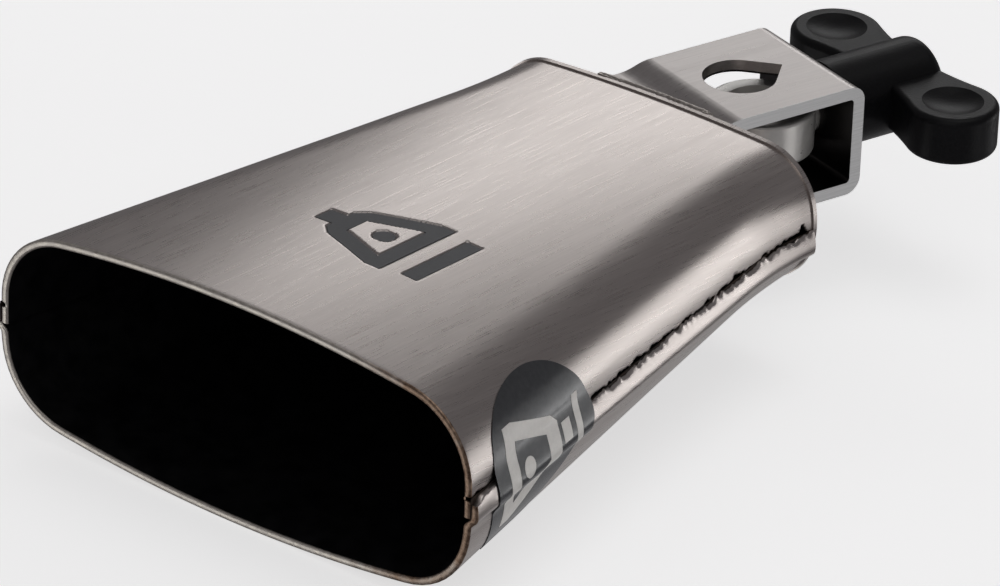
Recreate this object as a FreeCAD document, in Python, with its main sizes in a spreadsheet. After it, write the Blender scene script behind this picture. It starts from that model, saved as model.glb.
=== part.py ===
"""A hand cowbell with a rod clamp: folded steel bell, welded bracket, eye bolt and wing nut.

The bell is laid out in its own frame: X across, Y from the mouth plane back to the crown, Z up, with
Z zero on the bell's middle plane. The clamp is laid out in a bracket frame whose Y axis runs from the
crown plate through the eye bolt. Every finished piece is then tilted so that the bell lies on its
lower playing face, with the origin under the middle of the whole object.
"""
import FreeCAD, Part
import math
import os

import Sketcher

SIZES = [
    # the bell
    ("bell_length", 114.0, "mouth plane to the back of the crown plate, 4.5 inch"),
    ("sheet_wall", 1.4, "thickness of the bell's steel sheet"),
    ("mouth_half_width", 49.0, "outside, at the mouth"),
    ("mouth_half_height", 20.5, "outside, at the mouth"),
    ("mouth_face_radius", 261.0, "crown of the top and bottom faces at the mouth"),
    ("mouth_side_radius", 300.0, "crown of the side walls at the mouth"),
    ("mouth_corner_radius", 14.5, "outside corner at the mouth"),
    ("neck_station", 102.0, "where the sides stop tapering and flare"),
    ("neck_half_width", 33.0, "outside, at the neck"),
    ("neck_half_height", 13.9, "outside, at the neck"),
    ("neck_face_radius", 380.0, "crown of the faces at the neck"),
    ("neck_side_radius", 23.8, "round of the sides at the neck"),
    ("neck_corner_radius", 10.5, "outside corner at the neck"),
    ("rear_half_width", 33.7, "outside, where the crown plate closes the bell"),
    ("rear_half_height", 13.1, "outside, where the crown plate closes the bell"),
    ("rear_face_radius", 378.2, "crown of the faces at the crown plate"),
    ("rear_side_radius", 17.6, "round of the sides at the crown plate"),
    ("rear_corner_radius", 11.0, "outside corner at the crown plate"),
    ("plate_thickness", 1.0, "crown plate"),
    ("plate_lip", 0.3, "how far the crown plate stands proud of the sheet"),
    # the lap seams along both sides
    ("seam_height", 2.4, "height of the flap's edge at the mouth"),
    ("seam_slope", 1.4, "degrees that the flap's edge falls towards the crown"),
    ("lap_width", 3.8, "how far the flap covers the upper sheet"),
    ("lap_gap", 0.15, "braze film between the flap and the upper sheet"),
    ("flap_rise", 1.5, "outside of the flap above the sheet's outside"),
    ("joggle_width", 1.5, "step that carries the lower sheet out to its flap"),
    ("edge_gap", 0.3, "gap left between the two sheets inside the lap"),
    # the mark on the top face and the label on the right side
    ("mark_depth", 0.4, "depth of the pressed mark"),
    ("infill_drop", 0.15, "the infill's face below the sheet's outside"),
    ("mark_station", 36.0, "centre of the mark behind the mouth plane"),
    ("mark_bar_offset", 14.2, "centre of the plain bar beside the mark"),
    ("mark_bar_length", 17.0, "plain bar, along the bell"),
    ("mark_bar_width", 3.0, "plain bar, across the bell"),
    ("label_skin", 0.12, "thickness of the label"),
    ("label_glue", 0.03, "gap that the label's glue fills"),
    ("label_front", 8.0, "front edge of the label behind the mouth plane"),
    ("label_back", 38.0, "back edge of the label behind the mouth plane"),
    ("label_top", 13.0, "upper edge of the label"),
    ("label_bottom", 11.5, "lower edge of the label, below the middle plane"),
    # the bracket
    ("bracket_yaw", 18.0, "degrees that the clamp points to the right of the bell's axis"),
    ("bracket_offset", 4.0, "bracket's centre to the left of the bell's, at the crown"),
    ("strap_width", 27.2, "width of the steel strap"),
    ("strap_thickness", 2.3, "thickness of the steel strap"),
    ("bracket_length", 38.1, "crown plate to the outside of the back web"),
    ("bracket_half_height", 10.4, "middle plane to the outside of a leg"),
    ("leg_drop", 1.2, "how far each leg steps in before the crown"),
    ("leg_step_start", 6.5, "front of the step"),
    ("leg_step_end", 10.5, "back of the step"),
    ("leg_root", 8.0, "length of leg cut away to fit the crown plate"),
    ("bend_outside", 3.0, "outside bend radius"),
    ("bend_inside", 0.8, "inside bend radius"),
    ("step_bend", 9.0, "bend radius where a leg steps in"),
    ("rod_hole_radius", 6.5, "round part of the teardrop hole, for rods up to 12.7 mm"),
    ("rod_hole_station", 21.0, "centre of the round part behind the crown plate"),
    ("bolt_hole_radius", 4.4, "clearance hole in the back web"),
    ("weld_leg", 1.9, "length of the weld along the leg"),
    ("weld_knee", 0.9, "height of the bead where it leaves the leg"),
    ("weld_throat", 1.5, "bead's reach half way up the crown plate"),
    ("weld_crest", 0.25, "how far the bead stands above the sheet at the crown"),
    ("weld_half_length", 12.0, "half the length of each weld bead"),
    ("weld_shift", 1.5, "middle of each bead to the left of the bell's middle"),
    ("weld_end_round", 0.5, "round on the bead's ends"),
    # the eye bolt, wing nut and washer
    ("eye_radius", 9.6, "outside of the eye"),
    ("eye_height", 8.4, "height of the eye"),
    ("eye_edge", 0.8, "round on the eye's edges"),
    ("eye_travel", 5.0, "rod hole centre to the eye's centre when drawn home"),
    ("stud_radius", 4.0, "M8 stud"),
    ("stud_reach", 19.0, "stud's tip behind the back web when drawn home"),
    ("washer_radius", 7.2, "outside of the washer"),
    ("washer_hole", 4.3, "hole of the washer"),
    ("washer_thickness", 1.5, "thickness of the washer"),
    ("nut_gap", 0.1, "running gap between the washer and the wing nut"),
    ("hub_radius", 8.0, "outside of the wing nut's hub"),
    ("hub_end", 23.3, "hub's rear end behind the back web"),
    ("hub_round", 2.5, "round on the hub's rear edge"),
    ("lobe_offset", 17.0, "lobe's centre from the bolt's axis"),
    ("lobe_station", 16.9, "lobe's centre behind the back web"),
    ("lobe_radius", 8.2, "round of each lobe"),
    ("lobe_thickness", 8.8, "thickness of the wings"),
    ("waist_radius", 48.0, "hollow between the lobe and the hub"),
    ("lobe_round", 1.2, "round on the wings' edges"),
    ("dish_radius", 13.0, "spherical radius of the finger dish"),
    ("dish_depth", 1.2, "depth of the finger dish"),
    ("insert_radius", 5.6, "outside of the threaded insert"),
    ("insert_bore", 4.05, "bore of the threaded insert"),
    ("insert_length", 12.0, "length of the threaded insert"),
    ("tip_room_radius", 4.5, "blind hole behind the insert"),
    ("tip_room_end", 20.8, "end of the blind hole behind the back web"),
]

doc = FreeCAD.newDocument("cowbell")
sheet = doc.addObject("Spreadsheet::Sheet", "sizes")
for row, (alias, number, note) in enumerate(SIZES, start=1):
    sheet.set("A%d" % row, alias)
    sheet.set("B%d" % row, str(number))
    sheet.set("C%d" % row, note)
    sheet.setAlias("B%d" % row, alias)
doc.recompute()


def size(alias):
    """The number in the cell with this alias."""
    return float(getattr(sheet, alias))


def bind(obj, **properties):
    """Bind properties to expressions; $name in one stands for a cell, and __ in a name for a dot."""
    for name, text in properties.items():
        obj.setExpression(name.replace("__", "."), text.replace("$", "sizes."))


def number_of(text):
    """What an expression is worth now; $name in it stands for a cell of the sheet."""
    for alias, _, _ in sorted(SIZES, key=lambda entry: -len(entry[0])):
        text = text.replace("$" + alias, "(%r)" % size(alias))
    return float(FreeCAD.Units.Quantity(text).Value)


# ---- sketches -------------------------------------------------------------------------------------

def origin_plane(body, role):
    """The body's own origin plane with this role."""
    return next(plane for plane in body.Origin.OriginFeatures if plane.Role == role)


def add_sketch(owner, name, role=None, lift=None):
    """An empty sketch: on an origin plane of a body, or free in the document when role is None."""
    if role is None:
        return doc.addObject("Sketcher::SketchObject", name)
    sketch = owner.newObject("Sketcher::SketchObject", name)
    sketch.AttachmentSupport = [(origin_plane(owner, role), "")]
    sketch.MapMode = "FlatFace"
    if lift is not None:
        sketch.AttachmentOffset = FreeCAD.Placement(
            FreeCAD.Vector(0, 0, number_of(lift)), FreeCAD.Rotation()
        )
        bind(sketch, AttachmentOffset__Base__z=lift)
    return sketch


def constrain(sketch, label, text, kind, *where):
    """A constraint whose value follows an expression."""
    index = sketch.addConstraint(Sketcher.Constraint(kind, *where, number_of(text)))
    sketch.renameConstraint(index, label)
    sketch.setExpression("Constraints." + label, text.replace("$", "sizes."))


def draw_polygon(sketch, corners):
    """A closed polygon; each corner is a pair of expressions."""
    spots = [FreeCAD.Vector(number_of(u), number_of(v), 0) for u, v in corners]
    first = sketch.GeometryCount
    count = len(spots)
    for i in range(count):
        sketch.addGeometry(Part.LineSegment(spots[i], spots[(i + 1) % count]), False)
    for i in range(count):
        following = first + (i + 1) % count
        sketch.addConstraint(Sketcher.Constraint("Coincident", first + i, 2, following, 1))
    for i, (u, v) in enumerate(corners):
        constrain(sketch, "u%d" % (first + i), u, "DistanceX", -1, 1, first + i, 1)
        constrain(sketch, "v%d" % (first + i), v, "DistanceY", -1, 1, first + i, 1)


def draw_circle(sketch, u, v, radius):
    """A circle with its centre and radius bound to expressions."""
    centre = FreeCAD.Vector(number_of(u), number_of(v), 0)
    normal = FreeCAD.Vector(0, 0, 1)
    index = sketch.addGeometry(Part.Circle(centre, normal, number_of(radius)), False)
    constrain(sketch, "u%d" % index, u, "DistanceX", -1, 1, index, 3)
    constrain(sketch, "v%d" % index, v, "DistanceY", -1, 1, index, 3)
    constrain(sketch, "r%d" % index, radius, "Radius", index)


def arc_between(centre, radius, start, end):
    """A counter-clockwise arc about a centre, from one point's direction to another's."""
    circle = Part.Circle(FreeCAD.Vector(centre[0], centre[1], 0), FreeCAD.Vector(0, 0, 1), radius)
    first = math.atan2(start[1] - centre[1], start[0] - centre[0])
    last = math.atan2(end[1] - centre[1], end[0] - centre[0])
    if last <= first:
        last += 2 * math.pi
    return Part.ArcOfCircle(circle, first, last)


def corner_centre(width, height, face, side, corner):
    """Centre of the corner arc that touches the face arc and the side arc from inside."""
    face_centre = (0.0, height - face)
    side_centre = (width - side, 0.0)
    gap = math.dist(face_centre, side_centre)
    reach_face = face - corner
    reach_side = side - corner
    along = (reach_face**2 - reach_side**2 + gap**2) / (2 * gap)
    across = math.sqrt(reach_face**2 - along**2)
    ux = (side_centre[0] - face_centre[0]) / gap
    uy = (side_centre[1] - face_centre[1]) / gap
    return (face_centre[0] + ux * along + uy * across, face_centre[1] + uy * along - ux * across)


def draw_bell_section(sketch, place, offset):
    """A section of the bell: two face arcs, two side arcs and four corners, all tangent.

    offset is an expression for how far the outline stands outside the sheet's outer surface.
    """
    width = size(place + "_half_width")
    height = size(place + "_half_height")
    face = size(place + "_face_radius")
    side = size(place + "_side_radius")
    corner = size(place + "_corner_radius")
    out = number_of(offset)
    cx, cy = corner_centre(width, height, face, side, corner)
    face_off = height - face
    side_off = width - side

    def touch(centre, toward, radius):
        """The point of a circle that lies in the direction of another point."""
        span = math.dist(centre, toward)
        k = radius / span
        return (centre[0] + (toward[0] - centre[0]) * k, centre[1] + (toward[1] - centre[1]) * k)

    top = touch((0.0, face_off), (cx, cy), face + out)
    right = touch((side_off, 0.0), (cx, cy), side + out)
    signs = [(1, 1), (-1, 1), (-1, -1), (1, -1)]
    arcs = []
    for sx, sy in signs:
        ends = [(right[0] * sx, right[1] * sy), (top[0] * sx, top[1] * sy)]
        if sx * sy < 0:
            ends.reverse()
        arcs.append(arc_between((cx * sx, cy * sy), corner + out, ends[0], ends[1]))
        if sy == 1 and sx == 1:
            arcs.append(arc_between((0.0, face_off), face + out, top, (-top[0], top[1])))
        if sx == -1 and sy == 1:
            left = (-right[0], right[1])
            arcs.append(arc_between((-side_off, 0.0), side + out, left, (left[0], -left[1])))
        if sx == -1 and sy == -1:
            arcs.append(arc_between((0.0, -face_off), face + out, (-top[0], -top[1]), (top[0], -top[1])))
    arcs.append(arc_between((side_off, 0.0), side + out, (right[0], -right[1]), right))
    for arc in arcs:
        sketch.addGeometry(arc, False)
    for i in range(8):
        sketch.addConstraint(Sketcher.Constraint("Tangent", i, 2, (i + 1) % 8, 1))
    for i in (2, 4, 6):
        sketch.addConstraint(Sketcher.Constraint("Equal", 0, i))
    sketch.addConstraint(Sketcher.Constraint("Equal", 1, 5))
    sketch.addConstraint(Sketcher.Constraint("Equal", 3, 7))
    for i in (1, 5):
        sketch.addConstraint(Sketcher.Constraint("PointOnObject", i, 3, -2))
    for i in (3, 7):
        sketch.addConstraint(Sketcher.Constraint("PointOnObject", i, 3, -1))
    stem = "$" + place
    constrain(sketch, "corner", "%s_corner_radius + %s" % (stem, offset), "Radius", 0)
    constrain(sketch, "face", "%s_face_radius + %s" % (stem, offset), "Radius", 1)
    constrain(sketch, "side", "%s_side_radius + %s" % (stem, offset), "Radius", 3)
    face_text = "%s_half_height - %s_face_radius" % (stem, stem)
    side_text = "%s_half_width - %s_side_radius" % (stem, stem)
    constrain(sketch, "top_centre", face_text, "DistanceY", -1, 1, 1, 3)
    constrain(sketch, "bottom_centre", "-(%s)" % face_text, "DistanceY", -1, 1, 5, 3)
    constrain(sketch, "left_centre", "-(%s)" % side_text, "DistanceX", -1, 1, 3, 3)
    constrain(sketch, "right_centre", side_text, "DistanceX", -1, 1, 7, 3)


# ---- solids that the bell is cut from ---------------------------------------------------------------

FACING_FRONT = FreeCAD.Rotation(FreeCAD.Vector(1, 0, 0), 90)


def upright_sketch(name, station):
    """A free sketch that stands across the bell at a station along Y."""
    sketch = add_sketch(doc, name)
    sketch.Placement = FreeCAD.Placement(FreeCAD.Vector(0, number_of(station), 0), FACING_FRONT)
    bind(sketch, Placement__Base__y=station)
    return sketch


def bell_form(name, offset):
    """The bell's outer form from the mouth to the crown plate, grown or shrunk by an offset."""
    stations = [
        ("mouth", "0"),
        ("neck", "$neck_station"),
        ("rear", "$bell_length - $plate_thickness"),
    ]
    sections = []
    for place, station in stations:
        sketch = upright_sketch("%s_%s" % (name, place), station)
        draw_bell_section(sketch, place, offset)
        sections.append(sketch)
    loft = doc.addObject("Part::Loft", name)
    loft.Sections = sections
    loft.Solid = True
    loft.Ruled = True
    return loft


def slab(name, low, high):
    """A slab along the seam, between two heights measured from the flap's edge."""
    box = doc.addObject("Part::Box", name)
    run_out = "20"
    bind(
        box,
        Length="160",
        Width="$bell_length + 40",
        Height="(%s) - (%s)" % (high, low),
        Placement__Base__x="-80",
        Placement__Base__y="-" + run_out,
        Placement__Base__z="$seam_height + %s * tan($seam_slope * 1 deg) + (%s)" % (run_out, low),
    )
    box.Placement.Rotation = FreeCAD.Rotation(FreeCAD.Vector(1, 0, 0), -size("seam_slope"))
    bind(box, Placement__Rotation__Angle="-$seam_slope")
    return box


def cut(name, base, tool):
    """One solid less another."""
    obj = doc.addObject("Part::Cut", name)
    obj.Base = base
    obj.Tool = tool
    return obj


def common(name, *members):
    """What two or more solids share."""
    obj = doc.addObject("Part::MultiCommon", name)
    obj.Shapes = list(members)
    return obj


def fuse(name, *members):
    """Several solids joined into one."""
    obj = doc.addObject("Part::MultiFuse", name)
    obj.Shapes = list(members)
    obj.Refine = True
    return obj


def extrude(name, sketch, direction, length):
    """A sketch extruded both ways along a direction."""
    obj = doc.addObject("Part::Extrusion", name)
    obj.Base = sketch
    obj.DirMode = "Custom"
    obj.Dir = direction
    obj.Solid = True
    obj.Symmetric = True
    bind(obj, LengthFwd=length)
    return obj


FACING_RIGHT = FreeCAD.Rotation(
    FreeCAD.Vector(0, 1, 0), FreeCAD.Vector(0, 0, 1), FreeCAD.Vector(1, 0, 0), "XYZ"
)
UP = FreeCAD.Vector(0, 0, 1)
RIGHT = FreeCAD.Vector(1, 0, 0)
BACK = FreeCAD.Vector(0, 1, 0)

LAP_LOW = "0 - $lap_width"
STEP_LOW = "0 - $lap_width - $joggle_width"
FAR = "60"

wall_form = bell_form("wall_form", "(0 - $sheet_wall)")
floor_form = bell_form("floor_form", "(0 - $mark_depth)")
infill_form = bell_form("infill_form", "(0 - $infill_drop)")
outer_form = bell_form("outer_form", "0")
film_form = bell_form("film_form", "$lap_gap")
flap_form = bell_form("flap_form", "$flap_rise")
glue_form = bell_form("glue_form", "$label_glue")
flap_glue_form = bell_form("flap_glue_form", "($flap_rise + $label_glue)")
skin_form = bell_form("skin_form", "$label_skin")
flap_skin_form = bell_form("flap_skin_form", "($flap_rise + $label_skin)")
sheet_ring = cut("sheet_ring", outer_form, wall_form)


# ---- the bell ---------------------------------------------------------------------------------------

def mark_prism():
    """Upright prism through the top face: a plain bell sign standing across the bell, and a bar."""
    sketch = add_sketch(doc, "mark_outline")
    sketch.Placement = FreeCAD.Placement(FreeCAD.Vector(0, size("mark_station"), 0), FreeCAD.Rotation())
    bind(sketch, Placement__Base__y="$mark_station")
    body = [("9", "-10"), ("9", "10"), ("6.5", "10"), ("-5", "5.5"), ("-7", "3.5")]
    knob = [("-7", "2"), ("-10.5", "2"), ("-10.5", "-2"), ("-7", "-2")]
    other = [("-7", "-3.5"), ("-5", "-5.5"), ("6.5", "-10")]
    draw_polygon(sketch, body + knob + other)
    draw_polygon(sketch, [("6", "-6.4"), ("6", "6.4"), ("-3.6", "2.6"), ("-3.6", "-2.6")])
    draw_circle(sketch, "2.2", "0", "1.9")
    half_bar = "$mark_bar_length / 2"
    near = "$mark_bar_offset - $mark_bar_width / 2"
    away = "$mark_bar_offset + $mark_bar_width / 2"
    draw_polygon(
        sketch,
        [(near, "-" + half_bar), (away, "-" + half_bar), (away, half_bar), (near, half_bar)],
    )
    prism = extrude("mark_prism", sketch, UP, FAR)
    prism.Symmetric = False
    return prism


def upper_shell(prism):
    """Upper half of the sheet, down to its edges under the flaps, with the mark pressed in."""
    above = slab("above_lap", LAP_LOW, FAR)
    half = common("upper_sheet", sheet_ring, above)
    pressed = common("mark_pocket", cut("mark_ring", flap_form, floor_form), prism)
    return cut("upper_shell", half, pressed)


def lower_shell():
    """Lower half of the sheet, stepped out at both sides into flaps that cover the upper sheet."""
    below = slab("below_step", "0 - " + FAR, STEP_LOW + " + 0.01")
    wall = common("lower_sheet", sheet_ring, below)
    step_band = slab("step_band", STEP_LOW, LAP_LOW + " - $edge_gap")
    step = common("joggle", cut("joggle_ring", flap_form, wall_form), step_band)
    flap_band = slab("flap_band", LAP_LOW + " - $edge_gap - 0.01", "0")
    flap = common("flap", cut("flap_ring", flap_form, film_form), flap_band)
    return fuse("lower_shell", wall, step, flap)


def half_space(name, side):
    """A box that holds one side of the bell, side being 1 on the right and -1 on the left."""
    box = doc.addObject("Part::Box", name)
    bind(
        box,
        Length="80",
        Width="$bell_length + 40",
        Height="120",
        Placement__Base__x="0" if side > 0 else "-80",
        Placement__Base__y="-20",
        Placement__Base__z="-60",
    )
    return box


def seam_braze(name, side):
    """The film of braze metal between one flap and the upper sheet."""
    band = slab(name + "_band", LAP_LOW, "0")
    film = cut(name + "_ring", film_form, outer_form)
    return common(name, film, band, half_space(name + "_side", side))


def crown_plate():
    """Flat plate that closes the bell, its edge a little proud of the sheet all round."""
    sketch = upright_sketch("plate_outline", "$bell_length - $plate_thickness")
    draw_bell_section(sketch, "rear", "$plate_lip")
    plate = extrude("crown_plate", sketch, BACK, "$plate_thickness")
    plate.Symmetric = False
    return plate


def mark_infill(prism):
    """Enamel in the floor of the pressed mark."""
    layer = cut("infill_layer", infill_form, floor_form)
    return common("mark_infill", layer, prism)


def side_label():
    """Thin label round the right side, over the upper sheet, the flap and the lower sheet."""
    sketch = add_sketch(doc, "label_outline")
    sketch.Placement = FreeCAD.Placement(FreeCAD.Vector(0, 0, 0), FACING_RIGHT)
    corners = [
        ("$label_front", "-$label_bottom + 1.5"),
        ("$label_front + 2", "-$label_bottom"),
        ("$label_front + 9", "-$label_bottom"),
        ("$label_back", "-3"),
        ("$label_back", "4"),
        ("$label_back - 9", "$label_top"),
        ("$label_front + 4", "$label_top"),
        ("$label_front", "$label_top - 4"),
    ]
    draw_polygon(sketch, corners)
    prism = extrude("label_prism", sketch, RIGHT, "80")
    prism.Symmetric = False
    skin = cut("skin_ring", skin_form, glue_form)
    flap_skin = cut("flap_skin_ring", flap_skin_form, flap_glue_form)
    edge_ring = cut("edge_ring", flap_skin_form, glue_form)
    edge_low = "$label_glue"
    over_upper = common("skin_upper", skin, slab("skin_above", edge_low, FAR))
    over_edge = common("skin_edge", edge_ring, slab("skin_edge_band", edge_low, "$label_skin"))
    step_low = STEP_LOW + " - $label_glue"
    over_flap = common("skin_flap", flap_skin, slab("skin_flap_band", step_low, edge_low))
    under_low = STEP_LOW + " - $label_skin"
    under_edge = common("skin_under", edge_ring, slab("skin_under_band", under_low, step_low))
    over_lower = common("skin_lower", skin, slab("skin_below", "0 - " + FAR, step_low))
    whole = fuse("label_skins", over_upper, over_edge, over_flap, under_edge, over_lower)
    return common("side_label", whole, prism)


# ---- the bracket, in the bracket frame --------------------------------------------------------------

def new_body(name):
    """An empty PartDesign body."""
    return doc.addObject("PartDesign::Body", name)


def add_pad(body, sketch, name, length, midplane=True):
    """A pad of a sketch."""
    pad = body.newObject("PartDesign::Pad", name)
    pad.Profile = sketch
    pad.Midplane = midplane
    bind(pad, Length=length)
    return pad


def add_through_pocket(body, sketch, name):
    """A pocket through everything, both ways from its sketch, that has to remove material."""
    doc.recompute()
    before = body.Shape.Volume
    pocket = body.newObject("PartDesign::Pocket", name)
    pocket.Profile = sketch
    pocket.Type = "ThroughAll"
    pocket.Midplane = True
    doc.recompute()
    if body.Shape.Volume >= before - 0.01:
        raise RuntimeError("%s removes nothing" % name)
    return pocket


def add_fillet(body, base, name, radius, chosen):
    """A fillet on the edges of a feature that pass a test."""
    doc.recompute()
    names = ["Edge%d" % (i + 1) for i, edge in enumerate(base.Shape.Edges) if chosen(edge)]
    if not names:
        raise RuntimeError("%s has no edges" % name)
    fillet = body.newObject("PartDesign::Fillet", name)
    fillet.Base = (base, names)
    bind(fillet, Radius=radius)
    doc.recompute()
    return fillet


def runs_along(edge, axis):
    """Whether a straight edge is parallel to an axis."""
    if edge.Curve.TypeId != "Part::GeomLine":
        return False
    return abs(edge.Curve.Direction.dot(axis)) > 0.999


def near(value, target):
    return abs(value - target) < 0.01


def strap_outline():
    """Side view of the strap, clockwise from the front of the upper leg's outside."""
    high = "$bracket_half_height"
    inner = "($bracket_half_height - $strap_thickness)"
    back = "$bracket_length"
    web = "($bracket_length - $strap_thickness)"
    front = "0 - $leg_root"
    upper = [
        (front, high + " - $leg_drop"),
        ("$leg_step_start", high + " - $leg_drop"),
        ("$leg_step_end", high),
        (back, high),
    ]
    inside = [
        (front, inner + " - $leg_drop"),
        ("$leg_step_start", inner + " - $leg_drop"),
        ("$leg_step_end", inner),
        (web, inner),
    ]
    mirrored = [(u, "-(%s)" % v) for u, v in upper]
    mirrored_inside = [(u, "-(%s)" % v) for u, v in inside]
    return upper + mirrored[::-1] + mirrored_inside + inside[::-1]


def mounting_bracket():
    """U-shaped strap: legs stepped in towards the crown, teardrop rod holes, hole in the web."""
    body = new_body("mounting_bracket")
    side = add_sketch(body, "strap_side", "YZ_Plane")
    draw_polygon(side, strap_outline())
    strap = add_pad(body, side, "strap", "$strap_width")

    back = size("bracket_length")
    high = size("bracket_half_height")
    thickness = size("strap_thickness")

    def outside_bend(edge):
        at_corner = near(edge.CenterOfMass.y, back) and near(abs(edge.CenterOfMass.z), high)
        return runs_along(edge, RIGHT) and at_corner

    def inside_bend(edge):
        at_web = near(edge.CenterOfMass.y, back - thickness)
        return runs_along(edge, RIGHT) and at_web and near(abs(edge.CenterOfMass.z), high - thickness)

    def step_bend(edge):
        y = edge.CenterOfMass.y
        at_step = near(y, size("leg_step_start")) or near(y, size("leg_step_end"))
        return runs_along(edge, RIGHT) and at_step

    outer = add_fillet(body, strap, "outside_bends", "$bend_outside", outside_bend)
    inner = add_fillet(body, outer, "inside_bends", "$bend_inside", inside_bend)
    add_fillet(body, inner, "step_bends", "$step_bend", step_bend)

    root = add_sketch(body, "leg_roots", "XY_Plane")
    root.AttachmentOffset = FreeCAD.Placement(FreeCAD.Vector(), FreeCAD.Rotation(UP, size("bracket_yaw")))
    bind(root, AttachmentOffset__Rotation__Angle="$bracket_yaw")
    draw_polygon(root, [("-40", "0"), ("-40", "-60"), ("40", "-60"), ("40", "0")])
    add_through_pocket(body, root, "crown_fit")

    holes = add_sketch(body, "teardrops", "XY_Plane")
    draw_teardrop(holes)
    add_through_pocket(body, holes, "rod_holes")

    web_hole = add_sketch(body, "bolt_hole_circle", "XZ_Plane", "0 - $bracket_length")
    draw_circle(web_hole, "0", "0", "$bolt_hole_radius")
    doc.recompute()
    before = body.Shape.Volume
    drilled = body.newObject("PartDesign::Pocket", "bolt_hole")
    drilled.Profile = web_hole
    drilled.Midplane = True
    bind(drilled, Length="$strap_thickness * 4")
    doc.recompute()
    if body.Shape.Volume >= before - 1:
        raise RuntimeError("bolt_hole removes nothing")
    return body


def draw_teardrop(sketch):
    """Three quarters of a circle, closed towards the wing nut by two edges square to each other."""
    station = number_of("$rod_hole_station")
    radius = number_of("$rod_hole_radius")
    touch = radius * math.sqrt(0.5)
    right = (touch, station + touch)
    left = (-touch, station + touch)
    apex = FreeCAD.Vector(0, station + radius * math.sqrt(2.0), 0)
    sketch.addGeometry(arc_between((0, station), radius, left, right), False)
    sketch.addGeometry(Part.LineSegment(FreeCAD.Vector(right[0], right[1], 0), apex), False)
    sketch.addGeometry(Part.LineSegment(apex, FreeCAD.Vector(left[0], left[1], 0)), False)
    for i in range(3):
        if i == 1:
            sketch.addConstraint(Sketcher.Constraint("Coincident", 1, 2, 2, 1))
        else:
            sketch.addConstraint(Sketcher.Constraint("Tangent", i, 2, (i + 1) % 3, 1))
    sketch.addConstraint(Sketcher.Constraint("Perpendicular", 1, 2))
    sketch.addConstraint(Sketcher.Constraint("PointOnObject", 1, 2, -2))
    sketch.addConstraint(Sketcher.Constraint("PointOnObject", 0, 3, -2))
    constrain(sketch, "station", "$rod_hole_station", "DistanceY", -1, 1, 0, 3)
    constrain(sketch, "radius", "$rod_hole_radius", "Radius", 0)


def weld_bead(name, side):
    """A weld along the crown plate, above the upper leg (side 1) or below the lower (side -1)."""
    body = new_body(name)
    sketch = add_sketch(body, name + "_profile", "YZ_Plane", "0 - $weld_shift")
    sign = "" if side > 0 else "-"
    leg = "($bracket_half_height - $leg_drop)"
    top = "($rear_half_height + $weld_crest)"
    corners = [
        ("$bell_length", sign + leg),
        ("$bell_length + $weld_leg", sign + leg),
        ("$bell_length + $weld_leg", sign + "(%s + $weld_knee)" % leg),
        ("$bell_length + $weld_throat", sign + "($rear_half_height - $weld_crest)"),
        ("$bell_length + $weld_throat / 2", sign + top),
        ("$bell_length", sign + top),
    ]
    draw_polygon(sketch, corners)
    bead = add_pad(body, sketch, name + "_run", "$weld_half_length * 2")

    def end_edge(edge):
        at_end = near(abs(edge.CenterOfMass.x + size("weld_shift")), size("weld_half_length"))
        clear = edge.CenterOfMass.y > size("bell_length") + 0.3
        above = abs(edge.CenterOfMass.z) > size("bracket_half_height") - size("leg_drop") + 0.3
        return at_end and clear and above

    add_fillet(body, bead, name + "_ends", "$weld_end_round", end_edge)
    return body


# ---- the clamp's moving pieces and fasteners, in the bracket frame ----------------------------------

def eye_bolt():
    """Eye that the rod passes through, and the stud that draws it back."""
    body = new_body("eye_bolt")
    centre = "$rod_hole_station + $eye_travel"
    plan = add_sketch(body, "eye_plan", "XY_Plane")
    draw_circle(plan, "0", centre, "$eye_radius")
    ring = add_pad(body, plan, "eye", "$eye_height")

    def rim(edge):
        flat = near(abs(edge.CenterOfMass.z), size("eye_height") / 2)
        return flat and edge.Curve.TypeId == "Part::GeomCircle"

    add_fillet(body, ring, "eye_rims", "$eye_edge", rim)
    tip = "$bracket_length + $stud_reach"
    shank = add_sketch(body, "stud_half", "YZ_Plane")
    root = centre + " + $rod_hole_radius + 1"
    draw_polygon(
        shank,
        [
            (root, "0"),
            (root, "$stud_radius"),
            (tip + " - 1", "$stud_radius"),
            (tip, "$stud_radius - 1"),
            (tip, "0"),
        ],
    )
    stud = body.newObject("PartDesign::Revolution", "stud")
    stud.Profile = shank
    stud.ReferenceAxis = (shank, ["H_Axis"])
    stud.Angle = 360
    bore = add_sketch(body, "eye_bore_plan", "XY_Plane")
    draw_circle(bore, "0", centre, "$rod_hole_radius")
    add_through_pocket(body, bore, "eye_bore")
    return body


def washer():
    """Flat washer between the bracket's web and the wing nut."""
    body = new_body("washer")
    sketch = add_sketch(body, "washer_face", "XZ_Plane", "0 - $bracket_length")
    draw_circle(sketch, "0", "0", "$washer_radius")
    draw_circle(sketch, "0", "0", "$washer_hole")
    disc = add_pad(body, sketch, "washer_disc", "$washer_thickness", midplane=False)
    disc.Reversed = True
    return body


NUT_FRONT = "$bracket_length + $washer_thickness + $nut_gap"


def revolve_profile(body, name, corners, kind="PartDesign::Revolution"):
    """A revolution, or a groove, of a half profile about the bolt's axis."""
    sketch = add_sketch(body, name + "_half", "YZ_Plane")
    draw_polygon(sketch, corners)
    feature = body.newObject(kind, name)
    feature.Profile = sketch
    feature.ReferenceAxis = (sketch, ["H_Axis"])
    feature.Angle = 360
    return feature


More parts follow.
